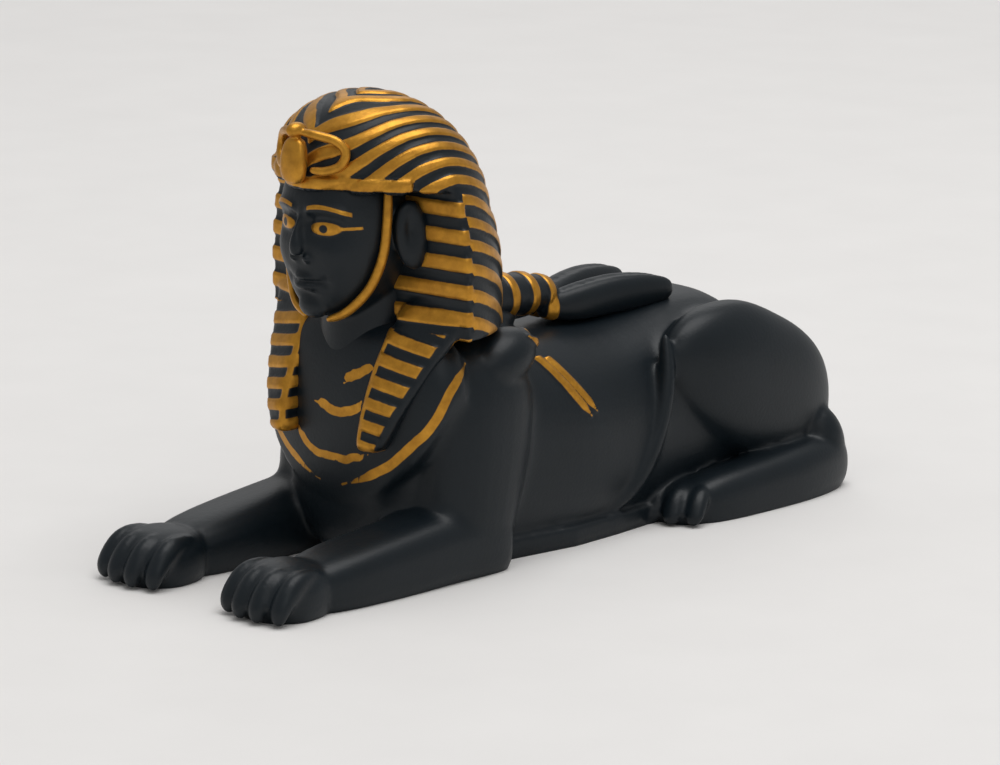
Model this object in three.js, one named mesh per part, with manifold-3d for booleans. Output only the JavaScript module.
// Reclining sphinx figurine: one solid casting, millimetres, +Z up, looking along -Y.
// Every form is laid out from the tips of the forepaws: x is sideways, y runs back along the
// body and z rises from the underside. The finished casting is then centred on its base.

import * as THREE from "three";
import { mergeVertices } from "three/addons/utils/BufferGeometryUtils.js";
import Module from "manifold-3d";

const wasm = await Module();
wasm.setup();

// ---- driving sizes -------------------------------------------------------------------------
const HEIGHT = 61.2; // underside to crown
const HEEL_Y = 106; // paw tips to the heels
const RIDGE_Y = 33.5; // the headcloth is widest here, in line with the ears
const BROW_Z = 50.1; // lower edge of the brow band
const BROW_BAND = 1.5; // height of the brow band
const BROW_POWER = 1.6; // power of the cloth's plan before the ears, a little pointed
const CLOTH_HALF = 17.8; // half-width of the headcloth across its wings
const WING_Z = 37.5; // the wings are widest here
const DOME_Z = 45; // the crown is a dome above this height
const DOME_HALF = 16.8;
const CLOTH_HEM_Z = 31; // lower hem of the headcloth
const CLOTH_SIDES = 20; // facets round the headcloth
const BACK_Z = 26; // height of the back behind the headcloth
const ARM_X = 12.4; // centre line of each foreleg
const LEG_X = 16.8; // centre line of each hind foot
const BAND_LIFT = 0.35; // how far the carved bands stand proud
const BAND_FIRST_Z = 33.0; // lower edge of the lowest headcloth band, at the ridge
const BAND_PITCH = 3.45; // from one headcloth band to the next, up the ridge
const BAND_WIDTH = 1.9;
const BAND_SLOPE = 1.1; // rise of a crown band for each millimetre sideways
const RIDGE_BANDS = 7;
const CROWN_BANDS = 6; // further bands over the crown, which don't reach the ridge
const BAR_TOP_Z = 31.9; // upper edge of the highest lappet bar
const BAR_PITCH = 2.66; // from one lappet bar to the next
const BAR_WIDTH = 1.5;
const BAR_COUNT = 6;
const BIB_TOP_Z = 28; // the bib's rounded edge is half an ellipse hung from this height
const BIB_HALF = 17;
const BIB_DROP = 19.2;
const BELOW = -3; // buried ends reach this far under the base before it is cut flat

const BLACK_PAINT = 0x24292d;

// ---- building blocks -----------------------------------------------------------------------
const vec = (x, y, z) => new THREE.Vector3(x, y, z);

/** A closed geometry as a manifold solid, turned so that its faces point outwards. */
function solid(geometry) {
  const bare = geometry.clone();
  bare.deleteAttribute("normal");
  bare.deleteAttribute("uv");
  const merged = mergeVertices(bare, 1e-4);
  const vertProperties = new Float32Array(merged.getAttribute("position").array);
  const triVerts = new Uint32Array(merged.getIndex().array);
  const [a, b, c] = [vec(), vec(), vec()];
  const corner = (target, i) => target.fromArray(vertProperties, 3 * triVerts[i]);
  let volume = 0;
  for (let i = 0; i < triVerts.length; i += 3) {
    volume += corner(a, i).dot(corner(b, i + 1).cross(corner(c, i + 2)));
  }
  if (volume < 0) {
    for (let i = 0; i < triVerts.length; i += 3) {
      [triVerts[i], triVerts[i + 1]] = [triVerts[i + 1], triVerts[i]];
    }
  }
  return new wasm.Manifold(new wasm.Mesh({ numProp: 3, vertProperties, triVerts }));
}

const join = (pieces) => pieces.reduce((sum, piece) => sum.add(piece));

/** The same form on the near (+1) and the far (-1) side. */
const pair = (make) => join([make(1), make(-1)]);

/**
 * A closed skin of rings between two poles: a sphere whose points are moved to
 * place(row, angle round). The first and the last row are the poles.
 */
function skin(sides, rows, place) {
  const last = rows.length - 1;
  const geometry = new THREE.SphereGeometry(1, sides, last);
  const position = geometry.getAttribute("position");
  const from = vec();
  for (let i = 0; i < position.count; i += 1) {
    from.fromBufferAttribute(position, i);
    const along = Math.acos(THREE.MathUtils.clamp(from.y, -1, 1)) / Math.PI;
    const to = place(rows[Math.round(along * last)], Math.atan2(from.z, from.x));
    position.setXYZ(i, to.x, to.y, to.z);
  }
  return solid(geometry);
}

const ALONG = vec(0, 1, 0);
const UPRIGHT = vec(0, 0, 1);
const signedPower = (value, power) => Math.sign(value) * Math.abs(value) ** power;

const smoothLine = (points) => new THREE.CatmullRomCurve3(points, false, "catmullrom");

/** Rows for a limb: fractions of its length, close together at its rounded ends. */
const endRows = (rings) =>
  Array.from({ length: rings + 1 }, (_, i) => [(1 - Math.cos((Math.PI * i) / rings)) / 2, 0]);

/**
 * A swelling limb along a smooth path. Each station is [x, y, z, half-width, half-height].
 * `square` is the power of the section (2 is an ellipse) and `blunt` the power of the two ends
 * (2 is an ellipsoid's end, more is flatter). Sections stand square to the path, or to `axis`
 * where one is given, and `turn` turns their width about the vertical. `rows` are
 * [fraction of the length, how far the ring stands proud].
 */
function limb(stations, options = {}) {
  const { square = 2, blunt = [3, 3], sides = 10, turn = 0, axis = null } = options;
  const rows = options.rows ?? endRows(options.rings ?? 8);
  const line = smoothLine(stations.map(([x, y, z]) => vec(x, y, z)));
  const girth = smoothLine(stations.map(([, , , half, high]) => vec(half, high, 0)));
  return skin(sides, rows, ([t, proud], round) => {
    const power = t < 0.5 ? blunt[0] : blunt[1];
    const reach = Math.max(0, 1 - Math.abs(2 * t - 1) ** power) ** (1 / power);
    const tangent = axis ?? line.getTangent(t);
    const across = vec(Math.cos(turn), Math.sin(turn), 0);
    across.addScaledVector(tangent, -across.dot(tangent)).normalize();
    const over = vec().crossVectors(across, tangent).normalize();
    const { x: half, y: high } = girth.getPoint(t);
    return line
      .getPoint(t)
      .addScaledVector(across, reach * (half + proud) * signedPower(Math.cos(round), 2 / square))
      .addScaledVector(over, reach * (high + proud) * signedPower(Math.sin(round), 2 / square));
  });
}

/** An ellipsoid at `at` with half-sizes `half`, tipped about the sideways axis, then turned. */
function mass(at, half, { tip = 0, turn = 0, sides = 12, rings = 8 } = {}) {
  const geometry = new THREE.SphereGeometry(1, sides, rings);
  geometry.scale(...half);
  geometry.rotateX(tip);
  geometry.rotateZ(turn);
  geometry.translate(...at);
  return solid(geometry);
}

/** A box given by its lowest and highest corners. */
function block(low, high) {
  const geometry = new THREE.BoxGeometry(...high.map((value, i) => value - low[i]));
  geometry.translate(...high.map((value, i) => (value + low[i]) / 2));
  return solid(geometry);
}

/** An outline of [x, z] corners pushed along y from `front` to `back`. */
function panel(outline, front, back) {
  const shape = new THREE.Shape(outline.map(([x, z]) => new THREE.Vector2(x, z)));
  const geometry = new THREE.ExtrudeGeometry(shape, { depth: back - front, bevelEnabled: false });
  geometry.rotateX(Math.PI / 2);
  geometry.translate(0, back, 0);
  return solid(geometry);
}

/** An outline of [x, y] corners raised from `low` to `high`. */
function slab(outline, low, high) {
  const shape = new THREE.Shape(outline.map(([x, y]) => new THREE.Vector2(x, y)));
  const geometry = new THREE.ExtrudeGeometry(shape, { depth: high - low, bevelEnabled: false });
  geometry.translate(0, 0, low);
  return solid(geometry);
}

// ---- body ----------------------------------------------------------------------------------
function trunk() {
  const profile = [
    // y, half-width, height of the back
    [27, 13.0, 30],
    [35, 14.4, 32],
    [43, 15.0, 31],
    [51, 15.4, 28.6],
    [59, 15.6, BACK_Z + 0.4],
    [67, 15.0, BACK_Z - 0.2],
    [75, 14.4, BACK_Z + 0.7],
    [83, 14.4, BACK_Z + 2],
    [91, 13.8, BACK_Z + 1.8],
    [98, 12.2, BACK_Z - 1],
    [104, 10.4, BACK_Z - 5],
  ];
  const stations = profile.map(([y, half, top]) => [0, y, (top + BELOW) / 2, half, (top - BELOW) / 2]);
  return limb(stations, { square: 2.5, blunt: [5, 4], sides: 18, rings: 12, axis: ALONG });
}

/** The low ledge that the belly rests on. */
function ledge() {
  const halves = [
    [13, 40],
    [15, 56],
    [14.6, 64],
    [13.6, 74],
    [12, 100],
  ];
  const outline = [...halves.map(([x, y]) => [-x, y]), ...halves.reverse()];
  return slab(outline, BELOW, 2.6);
}

/** The post between the forelegs, under the bib. */
const breastPost = () => block([-3.4, 28, BELOW], [3.4, 36, 12]);

function foreleg(side) {
  const x = side * ARM_X;
  const upper = limb(
    [
      [side * 11.2, 41.6, 29.5, 3.6, 6.8],
      [side * 12.0, 40.6, 24, 5.0, 8.6],
      [side * 12.4, 39.6, 16, 5.3, 8.2],
      [x, 38.2, 8, 5.4, 7.4],
      [x, 37.4, 1, 5.4, 6.4],
    ],
    { square: 2.3, blunt: [2.6, 6], rings: 7 },
  );
  const fore = limb(
    [
      [x, 42.8, 3.6, 5.5, 5.8],
      [x, 33, 4.0, 5.6, 5.5],
      [x, 24, 3.6, 5.5, 5.5],
      [side * 12.1, 16, 2.9, 5.0, 4.3],
      [side * 12.0, 8, 2.4, 4.6, 4.0],
    ],
    { square: 2.8, blunt: [9, 4], rings: 6 },
  );
  return fore.add(upper);
}

/** A paw: a domed pad with ridged toes that curl down to the ground. */
function paw({ x, front, half, height, long, toes, side, turn = 0 }) {
  const yaw = side * turn;
  const place = (across, back) => [
    side * x + Math.cos(yaw) * across - Math.sin(yaw) * back,
    front + Math.sin(yaw) * across + Math.cos(yaw) * back,
  ];
  const pad = limb(
    [
      [...place(0, 1.8), height * 0.1, half * 0.84, height * 0.42],
      [...place(0, long * 0.5), height * 0.3, half * 0.95, height * 0.6],
      [...place(0, long), height * 0.3, half * 0.86, height * 0.5],
    ],
    { square: 2.6, blunt: [2.4, 3], rings: 6, sides: 8, turn: yaw },
  );
  const pieces = [pad];
  const wide = (half * 0.97) / toes;
  for (let i = 0; i < toes; i += 1) {
    const across = (2 * i - (toes - 1)) / toes;
    const behind = half * 0.3 * across * across;
    pieces.push(
      limb(
        [
          [...place(half * across, behind + 1.2), 0.2, wide * 0.95, height * 0.13],
          [...place(half * across, behind + 1.5), height * 0.27, wide * 1.02, height * 0.15],
          [...place(half * across * 0.96, behind + long * 0.32), height * 0.58, wide * 0.92, height * 0.18],
          [...place(half * across * 0.8, long * 0.66), height * 0.72, wide * 0.74, height * 0.15],
        ],
        { blunt: [2.4, 2.2], sides: 6, rings: 5, turn: yaw },
      ),
    );
  }
  return join(pieces);
}

const forepaw = (side) =>
  paw({ x: 11.6, front: 0.3, half: 6.0, height: 8.4, long: 13, toes: 4, side });

const hindPaw = (side) => {
  const sizes = { x: 17.1, front: 70.8, half: 4.5, height: 7.3, long: 11.5, toes: 3, turn: 0.36 };
  return paw({ ...sizes, side });
};

function haunch(side) {
  const thigh = limb(
    [
      [side * 13.2, 74.4, 21.0, 3.6, 6.2],
      [side * 12.9, 81.5, 18.8, 4.9, 8.9],
      [side * 12.4, 89.5, 16.4, 5.6, 11.4],
      [side * 11.8, 97.5, 14.2, 5.7, 11.2],
      [side * 11.2, 105.6, 11.8, 5.3, 8.8],
    ],
    { square: 2.2, blunt: [2.8, 4], sides: 12, rings: 8, axis: ALONG },
  );
  const fold = limb(
    [
      [side * 13.2, 74.2, 25.0, 1.2, 1.0],
      [side * 14.4, 73.2, 19, 1.4, 1.2],
      [side * 14.6, 71.4, 13, 1.5, 1.3],
      [side * 14.2, 68, 6.8, 1.5, 1.4],
      [side * 13.4, 63.5, 3.0, 1.3, 1.1],
    ],
    { sides: 6, rings: 7 },
  );
  return thigh.add(fold);
}

function hindFoot(side) {
  const sole = limb(
    [
      [side * 15.8, HEEL_Y, 3.2, 4.0, 5.0],
      [side * LEG_X, 95, 2.6, 4.0, 4.7],
      [side * LEG_X, 85, 2.2, 4.0, 4.4],
      [side * 16.4, 75, 1.8, 4.0, 4.2],
    ],
    { square: 2.6, blunt: [3.4, 4], sides: 8, rings: 7, axis: ALONG },
  );
  const heel = mass([side * 15.2, 102.4, 6.0], [3.8, 3.4, 5.4], { tip: 0.25, sides: 8, rings: 6 });
  return sole.add(heel);
}

/** The tail comes from under the rump and lies along the far thigh. */
function tail() {
  const stations = [
    [-3, 102.0, 12, 1.8, 1.8],
    [-9, 103.8, 10.8, 1.8, 1.8],
    [-15.2, 102.0, 9.8, 1.6, 1.6],
    [-17.6, 94.5, 9.2, 1.5, 1.5],
    [-17.8, 86.5, 10.2, 1.7, 1.7],
    [-17.0, 81.5, 12.2, 1.2, 1.2],
  ];
  return limb(stations, { sides: 6, rings: 9, blunt: [6, 4] });
}

// ---- breast --------------------------------------------------------------------------------
/** The bib: a smooth breastplate of cloth with a rounded lower edge. */
function bib() {
  const breast = limb(
    [
      [0, 34.5, 32, 15.4, 6.6],
      [0, 33.4, 26, 16.6, 6.6],
      [0, 33.0, 19, 16.8, 6.8],
      [0, 33.0, 12, 16.2, 6.6],
      [0, 33.4, 6, 14.6, 6.2],
    ],
    { square: 2.1, blunt: [4, 6], sides: 20, rings: 9 },
  );
  const steps = 12;
  const edge = Array.from({ length: steps + 1 }, (_, i) => {
    const angle = Math.PI + (Math.PI * i) / steps;
    return [BIB_HALF * Math.cos(angle), BIB_TOP_Z + BIB_DROP * Math.sin(angle)];
  });
  const outline = [...edge, [BIB_HALF, 36], [-BIB_HALF, 36]];
  return breast.intersect(panel(outline, 10, 36));
}

/** The end of the bib that laps over each shoulder, with a strap that hangs from under it. */
function shoulderFlap(side) {
  const flap = mass([side * 13.2, 43.2, 26.6], [4.0, 6.0, 3.7], { tip: 0.3, sides: 8, rings: 6 });
  const strap = limb(
    [
      [side * 15.0, 45.6, 28.2, 0.9, 1.2],
      [side * 15.0, 50.4, 26.0, 0.9, 1.2],
      [side * 15.2, 54.6, 22.0, 0.9, 1.15],
      [side * 15.4, 57.4, 17.4, 0.8, 1.0],
    ],
    { sides: 6, rings: 6, blunt: [6, 4] },
  );
  return flap.add(strap);
}

/** A lappet of the headcloth, hung with raised bars. */
function lappet(side) {
  const top = 37.6;
  const long = 20.5;
  const profile = [
    // centre x, y, half-width, half-thickness
    [13.4, 36.0, 3.8, 1.5],
    [12.2, 33.3, 4.8, 1.5],
    [11.0, 30.9, 4.2, 1.6],
    [10.1, 28.8, 3.5, 1.6],
    [9.2, 27.1, 2.6, 1.6],
    [8.2, 26.1, 1.8, 1.5],
  ];
  const stations = profile.map(([x, y, half, thick], i) => [
    side * x,
    y,
    top - (long * i) / (profile.length - 1),
    half,
    thick,
  ]);
  const rows = [[0, 0]];
  for (let i = 0; i < BAR_COUNT; i += 1) {
    const upper = (top - BAR_TOP_Z + i * BAR_PITCH) / long;
    const lower = upper + BAR_WIDTH / long;
    const groove = lower + (BAR_PITCH - BAR_WIDTH) / long / 2;
    rows.push([upper, BAND_LIFT], [lower, BAND_LIFT], [Math.min(groove, 1), 0]);
  }
  const shape = { square: 4, blunt: [12, 12], sides: 8 };
  return limb(stations, { ...shape, rows, turn: side * 0.3, axis: UPRIGHT });
}

// ---- headcloth -----------------------------------------------------------------------------
/** The cloth's plan at a height: a dome over upright wings that spread a little downwards. */
function clothPlan(z) {
  if (z > DOME_Z + 1) {
    const half = DOME_HALF * Math.sqrt(Math.max(0, 1 - ((z - DOME_Z) / (HEIGHT - DOME_Z)) ** 2));
    return { half, front: half * (0.74 + 0.014 * (z - BROW_Z)), back: 0.78 * half };
  }
  const above = Math.max(0, z - WING_Z);
  const half = CLOTH_HALF - 0.0131 * above ** 2;
  return { half, front: 0.74 * half, back: 0.85 * CLOTH_HALF - 0.0249 * above ** 2 };
}

/** A point of the cloth on the band line that crosses the centre line at height `low`. */
function clothPoint(low, round, proud) {
  const forward = Math.sin(round) < 0;
  const power = forward ? 2 / BROW_POWER : 1;
  const sideways = signedPower(Math.cos(round), power);
  let under = -20;
  let over = HEIGHT;
  for (let step = 0; step < 30; step += 1) {
    const z = (under + over) / 2;
    if (z - BAND_SLOPE * clothPlan(z).half * Math.abs(sideways) < low) {
      under = z;
    } else {
      over = z;
    }
  }
  const { half, front, back } = clothPlan(under);
  const depth = forward ? front : back;
  return vec(
    (half + proud) * sideways,
    RIDGE_Y + (depth + proud) * signedPower(Math.sin(round), power),
    under + (under > DOME_Z ? (proud * (under - DOME_Z)) / (HEIGHT - DOME_Z) : 0),
  );
}

/** The heights at which the bands cross the centre line, from the hem to the crown. */
function bandLows() {
  const lows = [];
  for (let i = 0; i < RIDGE_BANDS; i += 1) {
    const ridgeZ = BAND_FIRST_Z + i * BAND_PITCH;
    lows.push(ridgeZ - BAND_SLOPE * clothPlan(ridgeZ).half);
  }
  for (let i = 0; i < CROWN_BANDS; i += 1) {
    lows.push(lows.at(-1) + BAND_PITCH);
  }
  return lows;
}

/** The banded cloth before its face opening and hem are cut. */
function bandedCloth() {
  const lows = bandLows();
  const rows = [["bottom", lows[0] - BAND_PITCH, 0], ["ring", lows[0] - BAND_PITCH, 0]];
  lows.forEach((low, i) => {
    const next = lows[i + 1] ?? low + BAND_PITCH;
    rows.push(["ring", low, BAND_LIFT], ["ring", low + BAND_WIDTH, BAND_LIFT]);
    if (next < HEIGHT) {
      rows.push(["ring", (low + BAND_WIDTH + next) / 2, 0]);
    }
  });
  rows.push(["top", HEIGHT, 0]);
  return skin(CLOTH_SIDES, rows, ([kind, low, proud], round) => {
    if (kind === "ring") {
      return clothPoint(low, round, proud);
    }
    return vec(0, RIDGE_Y, kind === "top" ? HEIGHT : low);
  });
}

/** How far forward the flat panels beside the ears lie, for each x. */
const panelY = (x) => 32.4 + 0.12 * (x - 9);

/** Clears the cloth away in front of the ears, below the brow. */
function faceWindow() {
  const outline = [
    [-30, 10],
    [30, 10],
    [30, panelY(30)],
    [9, panelY(9)],
    [-9, panelY(9)],
    [-30, panelY(30)],
  ];
  return slab(outline, -40, BROW_Z);
}

/** A raised bar across the flat panel beside an ear. */
function panelBar(side, low) {
  const inner = 10.6;
  const outer = clothPlan(low).half + BAND_LIFT;
  const outline = [
    [side * inner, panelY(inner) - BAND_LIFT],
    [side * outer, panelY(outer) - BAND_LIFT],
    [side * outer, RIDGE_Y + 0.6],
    [side * inner, RIDGE_Y + 0.6],
  ];
  return slab(outline, low, low + BAND_WIDTH);
}

/** The band that crosses the brow, a slice of the cloth's plan that stands proud. */
function browBand() {
  const rows = [
    [BROW_Z, 0],
    [BROW_Z, 1],
    [BROW_Z + BROW_BAND, 1],
    [BROW_Z + BROW_BAND, 0],
  ];
  const slice = skin(CLOTH_SIDES, rows, ([z, open], round) => {
    const { half, front } = clothPlan(z);
    const power = 2 / BROW_POWER;
    const proud = BAND_LIFT + 0.15;
    return vec(
      open * (half + proud) * signedPower(Math.cos(round), power),
      RIDGE_Y + open * (front + proud) * signedPower(Math.sin(round), power),
      z,
    );
  });
  return slice.intersect(block([-30, 0, 0], [30, RIDGE_Y - 1.5, HEIGHT]));
}

function headcloth() {
  const hemCutter = limb(
    [
      [0, RIDGE_Y, CLOTH_HEM_Z + 46, CLOTH_HALF + 0.6, 15.8],
      [0, RIDGE_Y, CLOTH_HEM_Z, CLOTH_HALF + 0.6, 15.8],
    ],
    { blunt: [12, 12], sides: CLOTH_SIDES, axis: UPRIGHT },
  );
  const pieces = [bandedCloth().intersect(hemCutter).subtract(faceWindow()), browBand()];
  for (let i = 0; i < RIDGE_BANDS - 2; i += 1) {
    const low = BAND_FIRST_Z + i * BAND_PITCH;
    pieces.push(pair((side) => panelBar(side, low)));
  }
  return join(pieces);
}

/** The gathered end of the cloth: a ringed queue down the nape that parts into two tails. */
function queue() {
  const front = 44;
  const back = 66.5;
  const stations = [
    [0, front, 31.4, 3.5, 3.3],
    [0, 51.5, 31.0, 3.4, 3.1],
    [0, 59, 30.6, 3.1, 2.8],
    [0, back, 29.9, 2.4, 2.1],
  ];
  const rows = [[0, 0]];
  for (const y of [55.8, 59.8, 63.6]) {
    const start = (y - front) / (back - front);
    const wide = 1.5 / (back - front);
    rows.push([start - wide / 2, 0], [start, BAND_LIFT], [start + wide, BAND_LIFT], [start + 1.5 * wide, 0]);
  }
  rows.push([1, 0]);
  return limb(stations, { rows, sides: 10, blunt: [6, 5], axis: ALONG });
}

function clothTail(side) {
  const stations = [
    [side * 0.9, 63, 28.0, 1.2, 1.8],
    [side * 1.9, 68, 28.3, 2.2, 2.4],
    [side * 3.2, 75, 28.8, 2.4, 2.6],
    [side * 4.6, 84, 28.6, 2.2, 2.4],
  ];
  return limb(stations, { sides: 8, rings: 7, blunt: [2.4, 4] });
}

// ---- head ----------------------------------------------------------------------------------
function face() {
  const skull = limb(
    [
      [0, 31.4, 54, 7.8, 9.4],
      [0, 31.2, 49, 8.4, 9.8],
      [0, 31.0, 44, 8.4, 9.6],
      [0, 30.6, 39.5, 7.6, 8.8],
      [0, 29.6, 35.8, 6.0, 7.2],
      [0, 28.8, 32.8, 4.0, 5.4],
    ],
    { square: 2.2, blunt: [4, 4], sides: 14, rings: 8, axis: UPRIGHT },
  );
  const neck = limb(
    [
      [0, 34, 38, 6.8, 6.4],
      [0, 33.6, 30, 6.8, 6.2],
      [0, 33.4, 20, 7.6, 6.6],
    ],
    { blunt: [6, 6], rings: 4 },
  );
  const nose = limb(
    [
      [0, 22.6, 47.2, 0.8, 0.9],
      [0, 21.4, 44.4, 0.85, 1.1],
      [0, 20.6, 41.4, 1.3, 1.2],
    ],
    { sides: 8, rings: 6, blunt: [2.4, 2.4] },
  );
  const lip = (z, high) =>
    limb(
      [
        [-2.3, 23.1, z, 0.6, high],
        [0, 22.2, z, 0.9, high],
        [2.3, 23.1, z, 0.6, high],
      ],
      { sides: 6, rings: 6, turn: Math.PI / 2, blunt: [2.2, 2.2] },
    );
  const chin = mass([0, 23.9, 34.7], [2.4, 1.5, 1.7], { sides: 8, rings: 6 });
  return join([skull, neck, nose, lip(38.6, 0.5), lip(37.6, 0.6), chin]);
}

/** One side's eye, ear and the strap of the headcloth along the jaw. */
function features(side) {
  const eye = mass([side * 3.5, 22.6, 45.3], [1.75, 0.95, 0.85], { turn: side * 0.28, sides: 8, rings: 5 });
  const ear = mass([side * 9.7, 31.7, 44.2], [1.4, 2.0, 3.7], { tip: 0.12, turn: side * -0.35, sides: 8, rings: 6 });
  const hollow = mass([side * 10.8, 31.1, 44.6], [0.9, 1.1, 2.3], { tip: 0.12, sides: 6, rings: 5 });
  const strap = limb(
    [
      [side * 8.0, 28.8, 50.4, 0.6, 0.7],
      [side * 8.2, 28.4, 46, 0.6, 0.7],
      [side * 8.0, 27.8, 41.5, 0.6, 0.7],
      [side * 6.8, 26.6, 37.4, 0.6, 0.7],
      [side * 4.4, 25.0, 34.2, 0.6, 0.7],
      [side * 1.8, 24.2, 32.8, 0.6, 0.6],
    ],
    { sides: 5, rings: 8, blunt: [6, 4] },
  );
  return join([eye, ear.subtract(hollow), strap]);
}

/** The cobra on the brow: a hood with a raised head and a coil to each side. */
function cobra() {
  const hood = limb(
    [
      [0, 20.6, 50.6, 1.6, 0.9],
      [0, 20.4, 53.2, 2.1, 1.2],
      [0, 21.0, 57.0, 1.3, 1.2],
    ],
    { sides: 8, rings: 6, square: 2.6 },
  );
  const head = mass([0, 21.0, 57.4], [1.1, 1.5, 1.0], { sides: 8, rings: 5 });
  const coil = (side) => {
    const loop = new THREE.TorusGeometry(1.7, 0.6, 4, 8);
    loop.rotateX(Math.PI / 2 - 0.25);
    loop.rotateZ(side * 0.42);
    loop.translate(side * 3.6, 22.0, 53.9);
    return solid(loop);
  };
  return join([hood, head, pair(coil)]);
}

// ---- casting -------------------------------------------------------------------------------
const forms = [
  trunk(),
  ledge(),
  breastPost(),
  pair(foreleg),
  pair(forepaw),
  pair(haunch),
  pair(hindFoot),
  pair(hindPaw),
  tail(),
  bib(),
  pair(shoulderFlap),
  headcloth(),
  pair(lappet),
  queue(),
  pair(clothTail),
  face(),
  pair(features),
  cobra(),
];
const casting = join(forms).subtract(block([-60, -20, -20], [60, 140, 0]));

function castingGeometry() {
  const mesh = casting.getMesh();
  const geometry = new THREE.BufferGeometry();
  geometry.setAttribute("position", new THREE.BufferAttribute(mesh.vertProperties, 3));
  geometry.setIndex(new THREE.BufferAttribute(mesh.triVerts, 1));
  geometry.computeBoundingBox();
  const middle = geometry.boundingBox.getCenter(vec());
  geometry.translate(-middle.x, -middle.y, 0);
  return geometry;
}

const paint = new THREE.MeshStandardMaterial({ color: BLACK_PAINT, roughness: 0.45, metalness: 0 });
const sphinx = new THREE.Mesh(castingGeometry(), paint);
sphinx.name = "sphinx";

const figurine = new THREE.Group();
figurine.add(sphinx);

export default figurine;
